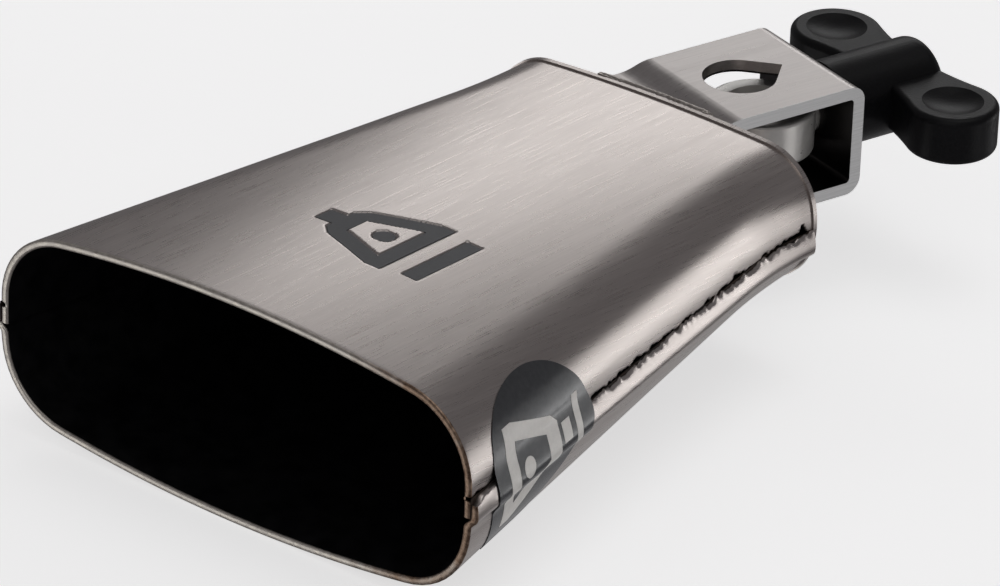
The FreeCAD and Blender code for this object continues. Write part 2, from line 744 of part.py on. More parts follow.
def draw_wings(sketch):
    """Plan of both wings: a round lobe at each end, with a shallow waist between them."""
    reach = number_of("$lobe_offset")
    station = number_of("$bracket_length + $lobe_station")
    lobe = number_of("$lobe_radius")
    waist = number_of("$waist_radius")
    away = math.sqrt((lobe + waist) ** 2 - reach**2)
    k = lobe / (lobe + waist)
    touch = [
        (reach * (1 - k), station + away * k),
        (-reach * (1 - k), station + away * k),
        (-reach * (1 - k), station - away * k),
        (reach * (1 - k), station - away * k),
    ]
    sketch.addGeometry(arc_between((reach, station), lobe, touch[3], touch[0]), False)
    sketch.addGeometry(arc_between((0, station + away), waist, touch[1], touch[0]), False)
    sketch.addGeometry(arc_between((-reach, station), lobe, touch[1], touch[2]), False)
    sketch.addGeometry(arc_between((0, station - away), waist, touch[3], touch[2]), False)
    joints = [(0, 2, 1, 2), (1, 1, 2, 1), (2, 2, 3, 2), (3, 1, 0, 1)]
    for joint in joints:
        sketch.addConstraint(Sketcher.Constraint("Tangent", *joint))
    sketch.addConstraint(Sketcher.Constraint("Equal", 0, 2))
    constrain(sketch, "lobe", "$lobe_radius", "Radius", 0)
    constrain(sketch, "rear_waist", "$waist_radius", "Radius", 1)
    constrain(sketch, "front_waist", "$waist_radius", "Radius", 3)
    for index, sign in ((0, ""), (2, "-")):
        constrain(sketch, "reach%d" % index, sign + "$lobe_offset", "DistanceX", -1, 1, index, 3)
        station_text = "$bracket_length + $lobe_station"
        constrain(sketch, "station%d" % index, station_text, "DistanceY", -1, 1, index, 3)


def wing_nut_blank():
    """Hub, wings and blind bore of the moulded wing nut, without its finger dishes."""
    body = new_body("wing_nut_blank")
    end = "$bracket_length + $hub_end"
    hub = revolve_profile(
        body,
        "hub",
        [(NUT_FRONT, "0"), (NUT_FRONT, "$hub_radius"), (end, "$hub_radius"), (end, "0")],
    )

    def rear_rim(edge):
        return near(edge.CenterOfMass.y, number_of(end)) and edge.Curve.TypeId == "Part::GeomCircle"

    add_fillet(body, hub, "hub_end_round", "$hub_round", rear_rim)
    plan = add_sketch(body, "wings_plan", "XY_Plane")
    draw_wings(plan)
    wings = add_pad(body, plan, "wings", "$lobe_thickness")

    def wing_edge(edge):
        flat = near(abs(edge.CenterOfMass.z), size("lobe_thickness") / 2)
        return flat and edge.Curve.TypeId == "Part::GeomCircle"

    add_fillet(body, wings, "wing_rounds", "$lobe_round", wing_edge)
    seat = "$bracket_length + $washer_thickness + $nut_gap + $insert_length"
    room = "$bracket_length + $tip_room_end"
    revolve_profile(
        body,
        "blind_bore",
        [
            (NUT_FRONT + " - 1", "0"),
            (NUT_FRONT + " - 1", "$insert_radius"),
            (seat, "$insert_radius"),
            (seat, "$tip_room_radius"),
            (room, "$tip_room_radius"),
            (room, "0"),
        ],
        "PartDesign::Groove",
    )
    return body


def wing_nut_body():
    """The wing nut with a finger dish sunk in both faces of both lobes."""
    blank = wing_nut_blank()
    dishes = []
    for side in (1, -1):
        for face in (1, -1):
            ball = doc.addObject("Part::Sphere", "dish_%d" % (len(dishes) + 1))
            height = "%d * ($lobe_thickness / 2 + $dish_radius - $dish_depth)" % face
            bind(
                ball,
                Radius="$dish_radius",
                Placement__Base__x="%d * $lobe_offset" % side,
                Placement__Base__y="$bracket_length + $lobe_station",
                Placement__Base__z=height,
            )
            dishes.append(ball)
    return cut("wing_nut_body", blank, fuse("dishes", *dishes))


def wing_nut_insert():
    """Threaded metal insert moulded into the hub."""
    body = new_body("wing_nut_insert")
    end = "$bracket_length + $washer_thickness + $nut_gap + $insert_length"
    revolve_profile(
        body,
        "insert",
        [
            (NUT_FRONT, "$insert_bore"),
            (NUT_FRONT, "$insert_radius"),
            (end, "$insert_radius"),
            (end, "$insert_bore"),
        ],
    )
    return body


# ---- putting the object together --------------------------------------------------------------------

def rest_placement():
    """Tilt that lays the bell on its lower face, from the mouth's rim to the crown plate's edge."""
    fall = size("mouth_half_height") - size("rear_half_height") - size("plate_lip")
    angle = math.degrees(math.atan2(fall, size("bell_length")))
    return FreeCAD.Placement(FreeCAD.Vector(0, 0, 0), FreeCAD.Rotation(RIGHT, angle))


def clamp_placement():
    """Bracket frame in the bell's frame."""
    base = FreeCAD.Vector(-size("bracket_offset"), size("bell_length"), 0)
    return FreeCAD.Placement(base, FreeCAD.Rotation(UP, -size("bracket_yaw")))


prism = mark_prism()
bell_nodes = [
    upper_shell(prism),
    lower_shell(),
    crown_plate(),
    seam_braze("seam_braze_right", 1),
    seam_braze("seam_braze_left", -1),
    mark_infill(prism),
    side_label(),
    weld_bead("bracket_weld_top", 1),
    weld_bead("bracket_weld_bottom", -1),
]
clamp_nodes = [
    mounting_bracket(),
    washer(),
    eye_bolt(),
    wing_nut_body(),
    wing_nut_insert(),
]
doc.recompute()


def lay_down(shift):
    """Place every finished piece, moved by a shift once tilted."""
    rest = FreeCAD.Placement(shift, FreeCAD.Rotation()).multiply(rest_placement())
    for node in bell_nodes:
        node.Placement = rest
    for node in clamp_nodes:
        node.Placement = rest.multiply(clamp_placement())
    doc.recompute()


lay_down(FreeCAD.Vector(0, 0, 0))
whole = Part.makeCompound([node.Shape for node in bell_nodes + clamp_nodes])
box = whole.optimalBoundingBox(False)
shift = FreeCAD.Vector(-(box.XMin + box.XMax) / 2, -(box.YMin + box.YMax) / 2, -box.ZMin)
lay_down(shift)

for obj in doc.Objects:
    if "Invalid" in obj.State or "Error" in obj.State:
        raise RuntimeError("%s failed: %s" % (obj.Name, obj.State))
os.makedirs("parts", exist_ok=True)
for node in bell_nodes + clamp_nodes:
    node.Label = node.Name
    if node.Shape.isNull() or not node.Shape.isValid():
        raise RuntimeError("%s has no valid shape" % node.Name)
    node.Shape.exportStep("parts/%s.step" % node.Label)
    extent = node.Shape.optimalBoundingBox(False)
    spans = (extent.XLength, extent.YLength, extent.ZLength)
    print("%-22s solids %d" % (node.Label, len(node.Shape.Solids)), end=" ")
    print("volume %9.1f mm3 box %.1f x %.1f x %.1f" % ((node.Shape.Volume,) + spans))
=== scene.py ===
import bpy
import bmesh
import math
import numpy as np
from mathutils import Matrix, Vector, noise


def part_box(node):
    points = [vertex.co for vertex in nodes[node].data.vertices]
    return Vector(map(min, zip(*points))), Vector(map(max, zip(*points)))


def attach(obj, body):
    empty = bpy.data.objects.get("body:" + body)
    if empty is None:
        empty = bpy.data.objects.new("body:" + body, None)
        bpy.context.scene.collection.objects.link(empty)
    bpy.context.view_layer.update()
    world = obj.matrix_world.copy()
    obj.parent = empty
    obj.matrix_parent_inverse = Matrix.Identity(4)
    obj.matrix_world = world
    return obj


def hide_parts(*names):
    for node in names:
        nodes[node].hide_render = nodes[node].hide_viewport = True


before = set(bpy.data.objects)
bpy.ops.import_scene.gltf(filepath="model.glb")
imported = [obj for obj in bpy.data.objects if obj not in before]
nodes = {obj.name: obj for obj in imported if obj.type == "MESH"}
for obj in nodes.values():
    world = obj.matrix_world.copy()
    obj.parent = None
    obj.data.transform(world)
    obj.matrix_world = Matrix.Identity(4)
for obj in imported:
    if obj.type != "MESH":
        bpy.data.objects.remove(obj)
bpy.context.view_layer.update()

MM = 0.001
TILT = math.radians(3.56382)       # the bell lies down by this much on its mouth rim
YAW = math.radians(-18.0)          # the bracket is turned on the crown by this much
NO_TURN = (0.0, 0.0, 0.0)

# ---------------------------------------------------------------- materials


def grey(value):
    """A colour with alpha, from a colour or from one number."""
    if isinstance(value, (int, float)):
        return (value, value, value, 1.0)
    return (*value, 1.0)


class Nodes:
    """A short way to write a node-based material.

    Patterns are placed by object coordinates, or by a named attribute of the mesh.
    """

    def __init__(self, name, attribute=None):
        self.mat = bpy.data.materials.new(name)
        self.mat.use_nodes = True
        self.tree = self.mat.node_tree
        self.tree.nodes.clear()
        self.out = self.tree.nodes.new("ShaderNodeOutputMaterial")
        self.shader = self.tree.nodes.new("ShaderNodeBsdfPrincipled")
        self.link(self.shader.outputs["BSDF"], self.out.inputs["Surface"])
        if attribute:
            source = self.tree.nodes.new("ShaderNodeAttribute")
            source.attribute_name = attribute
            self.place = source.outputs["Vector"]
        else:
            self.place = self.tree.nodes.new("ShaderNodeTexCoord").outputs["Object"]

    def link(self, a, b):
        self.tree.links.new(a, b)

    def put(self, value, socket):
        """Gives a socket a link, a colour or a number."""
        if isinstance(value, bpy.types.NodeSocket):
            self.link(value, socket)
        elif isinstance(value, tuple):
            socket.default_value = grey(value)
        else:
            socket.default_value = value

    def set(self, **values):
        """Sets constants on the shader's own sockets, with _ for a space in a name."""
        for key, value in values.items():
            self.shader.inputs[key.replace("_", " ")].default_value = value

    def mapping(self, where, kind, amount):
        node = self.tree.nodes.new("ShaderNodeMapping")
        node.inputs[kind].default_value = amount
        self.link(where, node.inputs["Vector"])
        return node.outputs["Vector"]

    def scaled(self, x, y, z, turn=NO_TURN, place=None):
        """The pattern's place, turned and then scaled."""
        turned = self.mapping(place or self.place, "Rotation", turn)
        return self.mapping(turned, "Scale", (x, y, z))

    def noise(self, where, detail=3.0, rough=0.5):
        node = self.tree.nodes.new("ShaderNodeTexNoise")
        node.inputs["Scale"].default_value = 1.0
        node.inputs["Detail"].default_value = detail
        node.inputs["Roughness"].default_value = rough
        self.link(where, node.inputs["Vector"])
        return node.outputs["Fac"]

    def ramp(self, fac, *stops):
        """Colours or numbers by a factor, from (position, value) stops."""
        node = self.tree.nodes.new("ShaderNodeValToRGB")
        ramp = node.color_ramp
        while len(ramp.elements) < len(stops):
            ramp.elements.new(0.5)
        for element, (at, colour) in zip(ramp.elements, stops):
            element.position = at
            element.color = grey(colour)
        self.link(fac, node.inputs["Fac"])
        return node.outputs["Color"]

    def mix(self, fac, a, b):
        node = self.tree.nodes.new("ShaderNodeMix")
        node.data_type = "RGBA"
        for socket, value in zip((node.inputs[0], node.inputs[6], node.inputs[7]), (fac, a, b)):
            self.put(value, socket)
        return node.outputs[2]

    def math(self, kind, a, b=0.0):
        node = self.tree.nodes.new("ShaderNodeMath")
        node.operation = kind
        for socket, value in zip(node.inputs, (a, b)):
            self.put(value, socket)
        return node.outputs[0]

    def axis(self, where, number):
        node = self.tree.nodes.new("ShaderNodeSeparateXYZ")
        self.link(where, node.inputs[0])
        return node.outputs[number]

    def bump(self, height, distance, strength):
        node = self.tree.nodes.new("ShaderNodeBump")
        node.inputs["Distance"].default_value = distance
        node.inputs["Strength"].default_value = strength
        self.link(height, node.inputs["Height"])
        return node.outputs["Normal"]

    def colour(self, socket):
        self.link(socket, self.shader.inputs["Base Color"])

    def rough(self, socket):
        self.link(socket, self.shader.inputs["Roughness"])

    def normal(self, socket):
        self.link(socket, self.shader.inputs["Normal"])


# in mm from the middle of the strap's box, along its width, out of the crown and up
WEB_FRONT = 15.06                  # out to the inner face of the web
LEG_INSIDE = 8.35                  # up or down to the inner face of a leg
STRAP_EDGE = 13.52                 # to either side, just short of the cut edges
STRAP_MIDDLE = 1.285               # of the strap's width
STREAKS = (2600.0, 70.0, 2600.0)   # fine across the brushing and long along it
BANDS = (520.0, 14.0, 520.0)


def brushed_tone(m, light, dark, turn):
    """Fine streaks along one direction, soft tonal bands and a few handling marks."""
    fine = m.noise(m.scaled(*STREAKS, turn), 5.0, 0.65)
    broad = m.noise(m.scaled(*BANDS, turn), 4.0, 0.6)
    cloud = m.noise(m.scaled(26.0, 26.0, 26.0), 4.0, 0.55)
    tone = m.ramp(fine, (0.28, dark), (0.70, light))
    tone = m.mix(0.35, tone, m.ramp(broad, (0.30, dark), (0.70, light)))
    tone = m.mix(m.ramp(cloud, (0.50, 0.0), (0.80, 0.22)), tone, dark)
    return tone, fine, cloud


def brushed_surface(m, tone, fine, rough_low, rough_high):
    """Puts a brushed tone on the shader, with roughness and relief from the same streaks."""
    m.set(Metallic=1.0)
    m.colour(tone)
    m.rough(m.ramp(fine, (0.25, rough_low), (0.80, rough_high)))
    m.normal(m.bump(fine, 0.000008, 0.5))
    return m.mat


STEEL_LIGHT = (0.66, 0.605, 0.575)
STEEL_DARK = (0.50, 0.455, 0.43)
STEEL_ROUGH = (0.24, 0.36)


def sheet_finish():
    """Brushed steel with its streaks along the bell."""
    m = Nodes("sheet_steel")
    tone, fine, _ = brushed_tone(m, STEEL_LIGHT, STEEL_DARK, (-TILT, 0.0, 0.0))
    return brushed_surface(m, tone, fine, *STEEL_ROUGH)


def rolled_finish():
    """The same steel laid on the folded sheet, painted near-black as shade where the sheet dips into the
    seam.
    """
    m = Nodes("rolled_steel", "brush")
    tone, fine, _ = brushed_tone(m, STEEL_LIGHT, STEEL_DARK, NO_TURN)
    dip = m.math("MULTIPLY", m.axis(m.place, 2), 1 / MM)
    # painted shade: the deeper the sheet dips into the crack beside the flap, the closer its colour goes to
    # black
    tone = m.mix(m.ramp(dip, (0.10, 0.0), (0.42, 1.0)), tone, (0.012, 0.010, 0.010))
    return brushed_surface(m, tone, fine, *STEEL_ROUGH)


def strap_finish():
    """The bracket's strap: brushed outside, painted near-black between the legs as shade, and paler on its
    cut edges.
    """
    m = Nodes("strap_steel")
    turn = (-TILT, 0.0, -YAW)
    tone, fine, cloud = brushed_tone(m, (0.62, 0.585, 0.565), (0.46, 0.43, 0.415), turn)
    low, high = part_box("mounting_bracket")
    centred = m.mapping(m.place, "Location", tuple(-c for c in (low + high) / 2))
    own = m.scaled(1 / MM, 1 / MM, 1 / MM, turn, centred)
    between_legs = m.math("LESS_THAN", m.math("ABSOLUTE", m.axis(own, 2)), LEG_INSIDE)
    before_web = m.math("LESS_THAN", m.axis(own, 1), WEB_FRONT)
    # painted shade: the strap's inside, between the legs and before the web, is coloured near black for the
    # shade that falls there
    painted_shade = m.ramp(cloud, (0.3, (0.020, 0.019, 0.019)), (0.7, (0.050, 0.047, 0.046)))
    tone = m.mix(m.math("MULTIPLY", between_legs, before_web), tone, painted_shade)
    across = m.math("ABSOLUTE", m.math("SUBTRACT", m.axis(own, 0), STRAP_MIDDLE))
    cut = m.math("GREATER_THAN", across, STRAP_EDGE)
    tone = m.mix(cut, tone, m.ramp(fine, (0.3, 0.52), (0.7, 0.74)))
    return brushed_surface(m, tone, fine, 0.26, 0.38)


def speckled(name, light, dark, metallic, rough, size=1600.0, depth=0.00004, gloss=0.5):
    """A surface with fine, even grain such as moulded plastic or bead-blasted metal."""
    m = Nodes(name)
    m.set(Metallic=metallic, Specular_IOR_Level=gloss)
    grain = m.noise(m.scaled(size, size, size), 4.0, 0.6)
    stains = m.noise(m.scaled(size / 30, size / 30, size / 30))
    tone = m.ramp(grain, (0.35, dark), (0.75, light))
    m.colour(m.mix(m.ramp(stains, (0.35, 0.0), (0.75, 0.6)), tone, dark))
    m.rough(m.ramp(grain, (0.2, rough * 0.85), (0.8, rough * 1.2)))
    m.normal(m.bump(grain, depth, 0.5))
    return m.mat


def rim_finish():
    """The ground rim: bright on top and to the left, with brown heat and braze stains to the right."""
    m = Nodes("rim_steel")
    m.set(Metallic=1.0)
    grit = m.noise(m.scaled(900.0, 900.0, 900.0), 5.0, 0.65)
    blotch = m.noise(m.scaled(130.0, 130.0, 130.0), 4.0, 0.6)
    across = m.math("MULTIPLY", m.axis(m.place, 0), 12.0)
    stain = m.ramp(m.math("ADD", across, blotch), (0.72, 0.0), (1.02, 1.0))
    clean = m.ramp(grit, (0.30, (0.62, 0.57, 0.50)), (0.65, (0.88, 0.83, 0.76)))
    brown = m.ramp(grit, (0.32, (0.10, 0.055, 0.035)), (0.68, (0.62, 0.45, 0.33)))
    m.colour(m.mix(stain, clean, brown))
    m.rough(m.ramp(grit, (0.2, 0.26), (0.8, 0.48)))
    m.normal(m.bump(grit, 0.00006, 0.6))
    return m.mat


sheet_steel = sheet_finish()
rolled_steel = rolled_finish()
strap_steel = strap_finish()
rim_steel = rim_finish()
# partly the dark oxidised steel of the bell's inside, partly painted shade: taken down to near black so the
# inside of the mouth reads as in shadow
inside_oxide_and_painted_shade = speckled("inside_oxide_and_painted_shade", (0.060, 0.060, 0.064), (0.028, 0.028, 0.031), 1.0, 0.55, 260.0)
braze_metal = speckled("braze_metal", (0.075, 0.050, 0.036), (0.012, 0.009, 0.008), 0.3, 0.60,
                       500.0, 0.0002, gloss=0.2)
weld_metal = speckled("weld_metal", (0.74, 0.69, 0.64), (0.40, 0.36, 0.33), 1.0, 0.30, 420.0, 0.0001)
mark_enamel = speckled("mark_enamel", (0.125, 0.128, 0.135), (0.075, 0.078, 0.084), 0.0, 0.45, 900.0)
label_film = speckled("label_film", (0.062, 0.064, 0.068), (0.044, 0.046, 0.050), 0.0, 0.18, 900.0, 0.00001)
print_silver = speckled("label_silver", (0.88, 0.86, 0.82), (0.74, 0.72, 0.69), 0.35, 0.42, 900.0, 0.00001)
washer_steel = speckled("washer_steel", (0.62, 0.60, 0.58), (0.42, 0.40, 0.38), 1.0, 0.28, 700.0)
eye_steel = speckled("eye_steel", (0.90, 0.88, 0.85), (0.72, 0.70, 0.67), 0.65, 0.30, 500.0)
nut_plastic = speckled("nut_plastic", (0.0075, 0.0075, 0.0085), (0.0025, 0.0025, 0.003), 0.0, 0.38,
                       2400.0, 0.00007, gloss=0.22)
insert_brass = speckled("insert_brass", (0.75, 0.58, 0.30), (0.50, 0.36, 0.16), 1.0, 0.3, 600.0)

FINISH = {
    "upper_shell": sheet_steel,
    "lower_shell": sheet_steel,
    "crown_plate": sheet_steel,
    "seam_braze_right": braze_metal,
    "seam_braze_left": braze_metal,
    "mark_infill": mark_enamel,
    "side_label": label_film,
    "bracket_weld_top": weld_metal,
    "bracket_weld_bottom": weld_metal,
    "mounting_bracket": strap_steel,
    "washer": washer_steel,
    "eye_bolt": eye_steel,
    "wing_nut_body": nut_plastic,
    "wing_nut_insert": insert_brass,
}
for name, finish in FINISH.items():
    mesh = nodes[name].data
    mesh.materials.clear()
    mesh.materials.append(finish)

# ---------------------------------------------------------------- shapes, in mm in the bell's own frame

CURVE_STEPS = 60
BELL_LENGTH = 113.0                # mouth plane to the front of the crown plate
NECK = 102.0                       # where the sides stop narrowing
NECK_SOFT = 9.0                    # half the length over which they change course
WALL = 1.4
SEAM_HEIGHT = 2.4                  # of the seam's line at the mouth, above the middle
SEAM_FALL = math.tan(math.radians(1.4))
LAP = 3.8                          # how far the upper sheet runs on under the flap
RIM_ROUND = 0.35
INNER_ROUND = 0.6                  # the lower sheet's inner rim is rounded by this share of its outer rim
# half width, half height, face radius, side radius, corner radius
MOUTH_SECTION = (49.0, 20.5, 261.0, 300.0, 14.5)
NECK_SECTION = (33.0, 13.9, 380.0, 23.8, 10.5)
REAR_SECTION = (33.7, 13.1, 378.2, 17.6, 11.0)

top_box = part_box("upper_shell")
SHIFT = Vector((
    0.0,
    top_box[0].y + MOUTH_SECTION[1] * MM * math.sin(TILT),
    top_box[1].z - MOUTH_SECTION[1] * MM * math.cos(TILT),
))


def to_row(x, y, z):
    """A point of the bell's frame, in mm, as a point of the row frame, in metres."""
    c = math.cos(TILT)
    s = math.sin(TILT)
    return (x * MM + SHIFT.x, (y * c - z * s) * MM + SHIFT.y, (y * s + z * c) * MM + SHIFT.z)


def section(width, height, face, side, corner):
    """Points of the right half of a section, from the top centre to the bottom centre.

    Each quarter is three tangent arcs: the flat face, the corner and the side.
    """
    fy = height - face
    sx = width - side
    gap = math.hypot(sx, fy)
    along = ((face - corner) ** 2 - (side - corner) ** 2 + gap * gap) / (2 * gap)
    across = math.sqrt((face - corner) ** 2 - along ** 2)
    ux = sx / gap
    uy = -fy / gap
    cx = ux * along + uy * across
    cy = fy + uy * along - ux * across
    if cy < 0:
        cx = ux * along - uy * across
        cy = fy + uy * along + ux * across
    lean = math.atan2(cx, cy - fy)
    rise = math.atan2(cy, cx - sx)
    top = []
    for i in range(CURVE_STEPS):
        a = lean * i / CURVE_STEPS
        top.append((face * math.sin(a), fy + face * math.cos(a)))
    for i in range(CURVE_STEPS):
        a = math.pi / 2 - lean + (rise - math.pi / 2 + lean) * i / CURVE_STEPS
        top.append((cx + corner * math.cos(a), cy + corner * math.sin(a)))
    for i in range(CURVE_STEPS + 1):
        a = rise * (1 - i / CURVE_STEPS)
        top.append((sx + side * math.cos(a), side * math.sin(a)))
    under = [(x, -z) for x, z in reversed(top[:-1])]
    return np.array(top + under)


MOUTH_LINE = section(*MOUTH_SECTION)
NECK_LINE = section(*NECK_SECTION)
REAR_LINE = section(*REAR_SECTION)
FRONT_SLOPE = (NECK_LINE - MOUTH_LINE) / NECK
REAR_SLOPE = (REAR_LINE - NECK_LINE) / (BELL_LENGTH - NECK)
found_lines = {}


class Line:
    """The half section at one station: arc length, points, normals and the seam's arc length."""

    def __init__(self, y):
        past = y - NECK
        if past < -NECK_SOFT:
            bend = 0.0
        elif past < NECK_SOFT:
            bend = (past + NECK_SOFT) ** 2 / (4 * NECK_SOFT)
        else:
            bend = past
        self.points = MOUTH_LINE + FRONT_SLOPE * y + (REAR_SLOPE - FRONT_SLOPE) * bend
        steps = np.diff(self.points, axis=0)
        self.length = np.concatenate([[0.0], np.cumsum(np.hypot(steps[:, 0], steps[:, 1]))])
        run = np.gradient(self.points, axis=0)
        self.normals = np.stack([-run[:, 1], run[:, 0]], 1)
        self.normals /= np.hypot(self.normals[:, 0], self.normals[:, 1])[:, None]
        self.seam = float(np.interp(SEAM_FALL * y - SEAM_HEIGHT, -self.points[:, 1], self.length))
        self.whole = self.length[-1]

    def at(self, along, out):
        """Points at arc lengths, each moved out along the normal."""
        found = []
        for k in (0, 1):
            base = np.interp(along, self.length, self.points[:, k])
            found.append(base + out * np.interp(along, self.length, self.normals[:, k]))
        return found

    def height(self, z):
        """Arc length at which the section has a height z."""
        return float(np.interp(-z, -self.points[:, 1], self.length))


def line(y):
    """The line at a station, made once."""
    key = round(y, 4)
    if key not in found_lines:
        found_lines[key] = Line(y)
    return found_lines[key]


def ripple(y, *waves):
    """A wandering value along the bell, from (spacing in mm, amount in mm, seed) waves."""
    return sum(amount * noise.noise((y / spacing, seed, 0.37)) for spacing, amount, seed in waves)


def smooth(low, high, value):
    """An even rise from 0 at low to 1 at high."""
    t = np.clip((value - low) / (high - low), 0.0, 1.0)
    return t * t * (3 - 2 * t)


def rim_round(y):
    """How far both surfaces draw in where the mouth's rim is rounded over."""
    if y >= RIM_ROUND:
        return 0.0
    return RIM_ROUND - math.sqrt(RIM_ROUND ** 2 - (RIM_ROUND - y) ** 2)


def polygon_distance(px, py, corners):
    """Signed distance to a polygon, negative inside."""
    best = np.full(px.shape, 1e9)
    inside = np.zeros(px.shape, bool)
    for (ax, ay), (bx, by) in zip(corners, corners[1:] + corners[:1]):
        ex, ey = bx - ax, by - ay
        t = np.clip(((px - ax) * ex + (py - ay) * ey) / (ex * ex + ey * ey), 0, 1)
        best = np.minimum(best, np.hypot(px - ax - t * ex, py - ay - t * ey))
        crosses = (ay > py) != (by > py)
        where = ax + (py - ay) * ex / (ey if ey else 1e-9)
        inside ^= crosses & (px < where)
    return np.where(inside, -best, best)


# the stamped mark, in mm across and along the top face from its own station
MARK_STATION = 36.0
MARK_DEPTH = 0.4
MARK_BEVEL = 0.30
SIGN = [(9, -10), (9, 10), (6.5, 10), (-5, 5.5), (-7, 3.5), (-7, 2), (-10.5, 2), (-10.5, -2),
        (-7, -2), (-7, -3.5), (-5, -5.5), (6.5, -10)]
SIGN_WINDOW = [(6, -6.4), (6, 6.4), (-3.6, 2.6), (-3.6, -2.6)]
SIGN_DOT = (2.2, 0.0, 1.9)
SIGN_BAR = [(12.7, -8.5), (15.7, -8.5), (15.7, 8.5), (12.7, 8.5)]


def pressed(x, y):
    """How far the stamped mark is pressed in at points of the top face."""
    v = y - MARK_STATION
    sign = np.maximum(polygon_distance(x, v, SIGN), -polygon_distance(x, v, SIGN_WINDOW))
    dot = np.hypot(x - SIGN_DOT[0], v - SIGN_DOT[1]) - SIGN_DOT[2]
    near = np.minimum(np.minimum(sign, dot), polygon_distance(x, v, SIGN_BAR))
    return MARK_DEPTH * (1 - smooth(0.0, MARK_BEVEL, near))


RIM_RINGS = 5
RIM_SPAN = (0.0, RIM_ROUND, RIM_ROUND / RIM_RINGS)
OUTSIDE = 0
RIM = 1
INSIDE = 2
SHARP_ANGLE = math.radians(35.0)


def solid(name, rings, across, brush=None):
    """A closed band: rings of points at successive stations, outer columns then inner ones back.

    across is the number of outer columns. brush gives each point its place on the flattened
    sheet, for the brushed grain to run along, and goes with the finishes by region.
    """
    count = len(rings[0])
    verts = [p for ring in rings for p in ring]
    faces = []
    regions = []
    for i in range(len(rings) - 1):
        a = i * count
        b = a + count
        for j in range(count):
            k = (j + 1) % count
            faces.append((a + j, a + k, b + k, b + j))
            inside = across <= j < count - 1
            regions.append(RIM if i < RIM_RINGS else INSIDE if inside else OUTSIDE)
    for start, flip in ((0, True), ((len(rings) - 1) * count, False)):
        for j in range(across - 1):
            quad = (start + j, start + j + 1, start + count - 2 - j, start + count - 1 - j)
            faces.append(quad[::-1] if flip else quad)
            regions.append(RIM)
    obj = piece(name, verts, faces)
    if brush is not None:
        obj.data.polygons.foreach_set("material_index", regions)
        layer = obj.data.attributes.new("brush", "FLOAT_VECTOR", "POINT")
        layer.data.foreach_set("vector", np.array(brush, float).ravel())
    return obj


def piece(name, verts, faces):
    """A mesh on the bell from points in the row frame, with smooth shading and sharp edges kept."""
    mesh = bpy.data.meshes.new(name)
    mesh.from_pydata(verts, [], faces)
    form = bmesh.new()
    form.from_mesh(mesh)
    bmesh.ops.recalc_face_normals(form, faces=form.faces)
    form.to_mesh(mesh)
    form.free()
    mesh.shade_smooth()
    mesh.set_sharp_from_angle(angle=SHARP_ANGLE)
    obj = bpy.data.objects.new(name, mesh)
    bpy.context.scene.collection.objects.link(obj)
    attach(obj, "bell")
    return obj


def stations(*spans):
    """Stations along the bell from (start, end, step) spans, and the end of the last."""
    found = []
    for start, end, step in spans:
        count = max(1, round((end - start) / step))
        found += [start + (end - start) * i / count for i in range(count)]
    return found + [spans[-1][1]]


# the mark's part of the top face has a finer mesh, which starts and ends at these places
MARK_START = 25.2
MARK_END = 46.8
MARK_HALF_WIDTH = 16.6
MARK_STEP = 0.27
COARSE_STEP = 0.8
FINE_STEP = 0.35
EDGE_SINK = 0.06                   # how far the upper sheet's hidden edge is pressed in under the flap
# heights above the seam's line of the columns near the seam, closest where the sheet dips
SEAM_STEPS = np.array([4.0, 3.0, 2.4, 2.0, 1.6, 1.3, 1.1, 0.95, 0.8, 0.65, 0.5, 0.35, 0.2, 0.05,
                       -0.1, -0.25, -0.45, -0.65, -0.9, -1.4, -2.4, -LAP])
CRACK_REACH = (-0.7, 6.0)          # the heights above the seam's line between which the sheet can dip
CRACK_DEPTH = 1.0
CRACK_WIDTH = 0.34
CRACK_LEAST = 0.12                 # the least width it closes up to
CRACK_TOP = -0.25                  # where the dip starts to ease off, above the seam's line
HOOK_STATION = 110.4               # where the crack turns up beside the crown
HOOK_RISE = 1.5
HOOK_LENGTH = 0.6


def upper_columns(at):
    """Arc lengths of the upper shell's columns on the right, from the top centre to its hidden edge."""
    fine = np.arange(0.0, MARK_HALF_WIDTH, MARK_STEP)
    reach = at.seam - SEAM_STEPS[0]
    middle = MARK_HALF_WIDTH + (reach - MARK_HALF_WIDTH) * np.linspace(0, 1, 26)[:-1]
    return np.concatenate([fine, middle, at.seam - SEAM_STEPS])


def crack(above, y):
    """The upper sheet dips beside the flap's edge, so the seam reads as an open line."""
    depth = CRACK_DEPTH + ripple(y, (5.0, 0.15, 3.1), (1.4, 0.15, 5.2))
    width = CRACK_WIDTH + ripple(y, (6.0, 0.40, 9.4), (1.8, 0.55, 2.3), (0.9, 0.45, 8.3))
    top = CRACK_TOP + HOOK_RISE * math.exp(-((y - HOOK_STATION) / HOOK_LENGTH) ** 2)
    return -depth * np.exp(-(np.maximum(above - top, 0) / max(width, CRACK_LEAST)) ** 4)


def flattened(y, along, dip):
    """Places on the flattened sheet for the right and left columns, with how far each dips."""
    right = [(a * MM, y * MM, d * MM) for a, d in zip(along, dip)]
    left = [(-a * MM, y * MM, d * MM) for a, d in zip(along, dip)]
    return right, left


